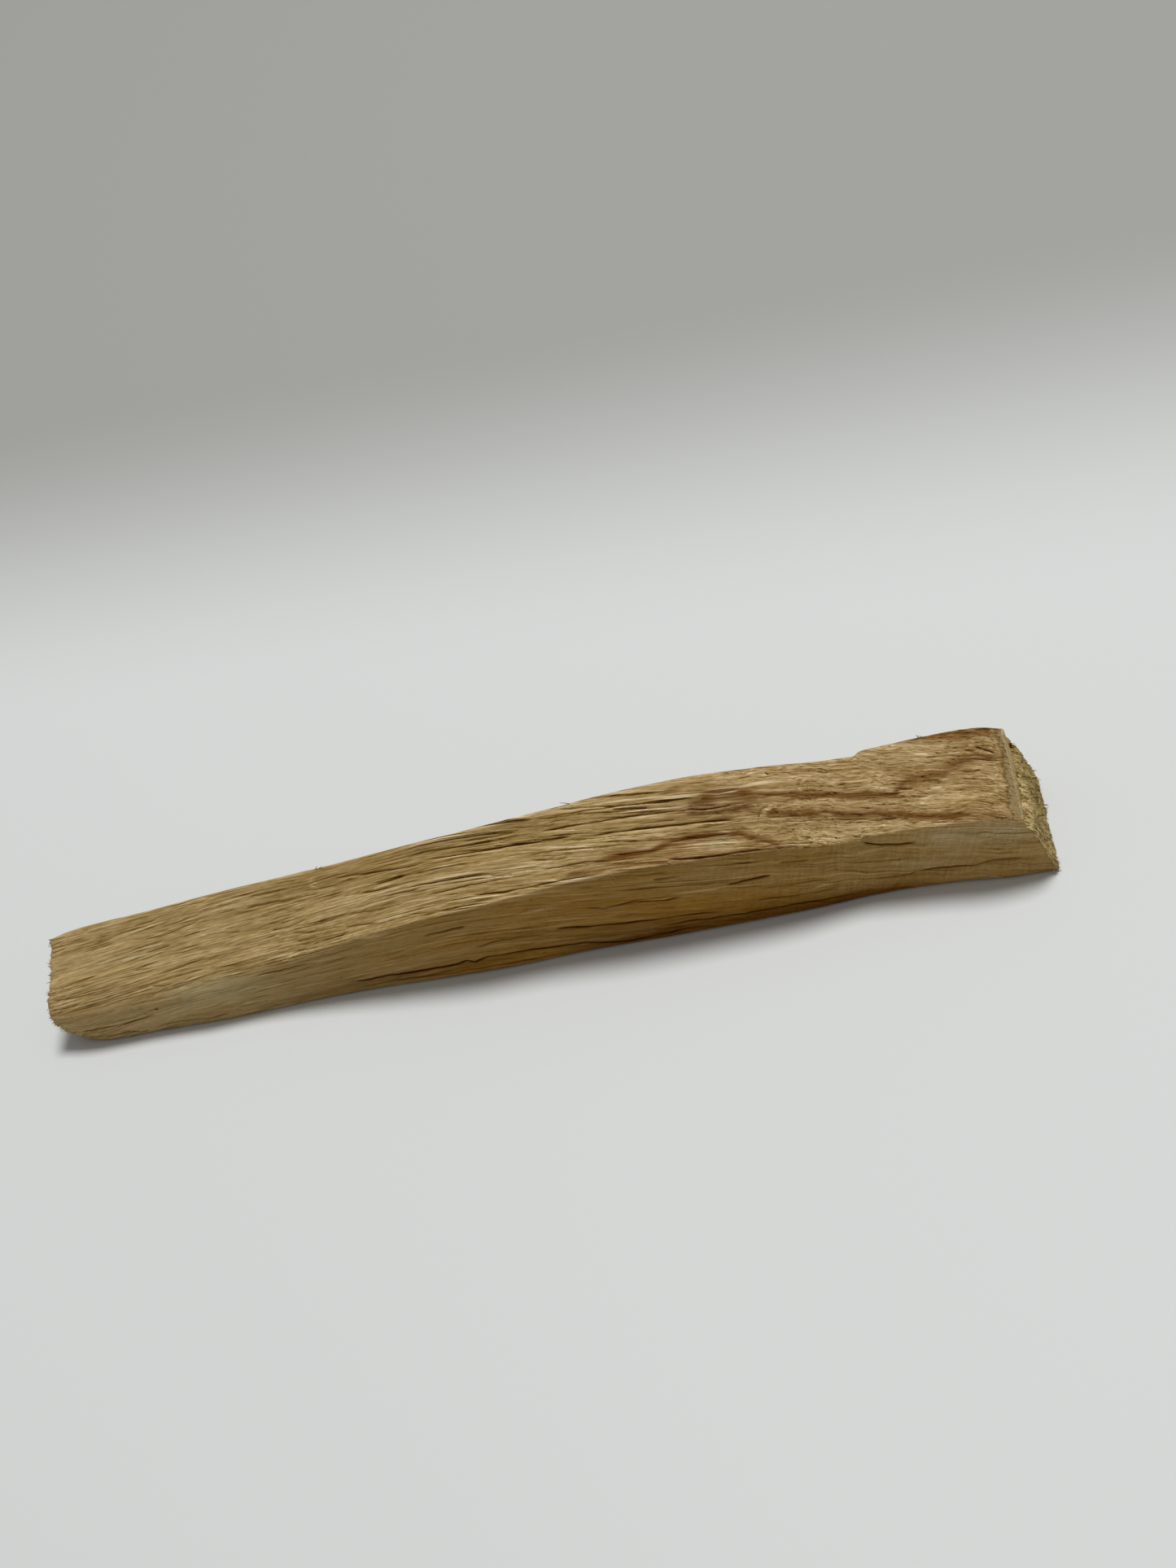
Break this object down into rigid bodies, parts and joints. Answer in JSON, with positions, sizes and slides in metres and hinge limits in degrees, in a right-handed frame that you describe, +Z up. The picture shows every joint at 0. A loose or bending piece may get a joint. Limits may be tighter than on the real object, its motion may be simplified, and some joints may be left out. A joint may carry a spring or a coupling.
{
  "type": "palo santo stick",
  "caption": "Split stick of pale aromatic palo santo wood, sawn at both ends, that lies flat on a dish or a shelf.",
  "frame": {"origin": "under the middle of the stick, on the surface that it lies on", "axes": "+X along the stick towards its torn end, +Y across it towards the crest, +Z up"},
  "size_m": [0.1046, 0.0136, 0.0101],
  "materials": {
    "wood": "raw split wood, dry and matt, with brown resin veins and open cracks along the grain"
  },
  "bodies": {
    "root": {"stick": "wood"}
  },
  "joints": []
}
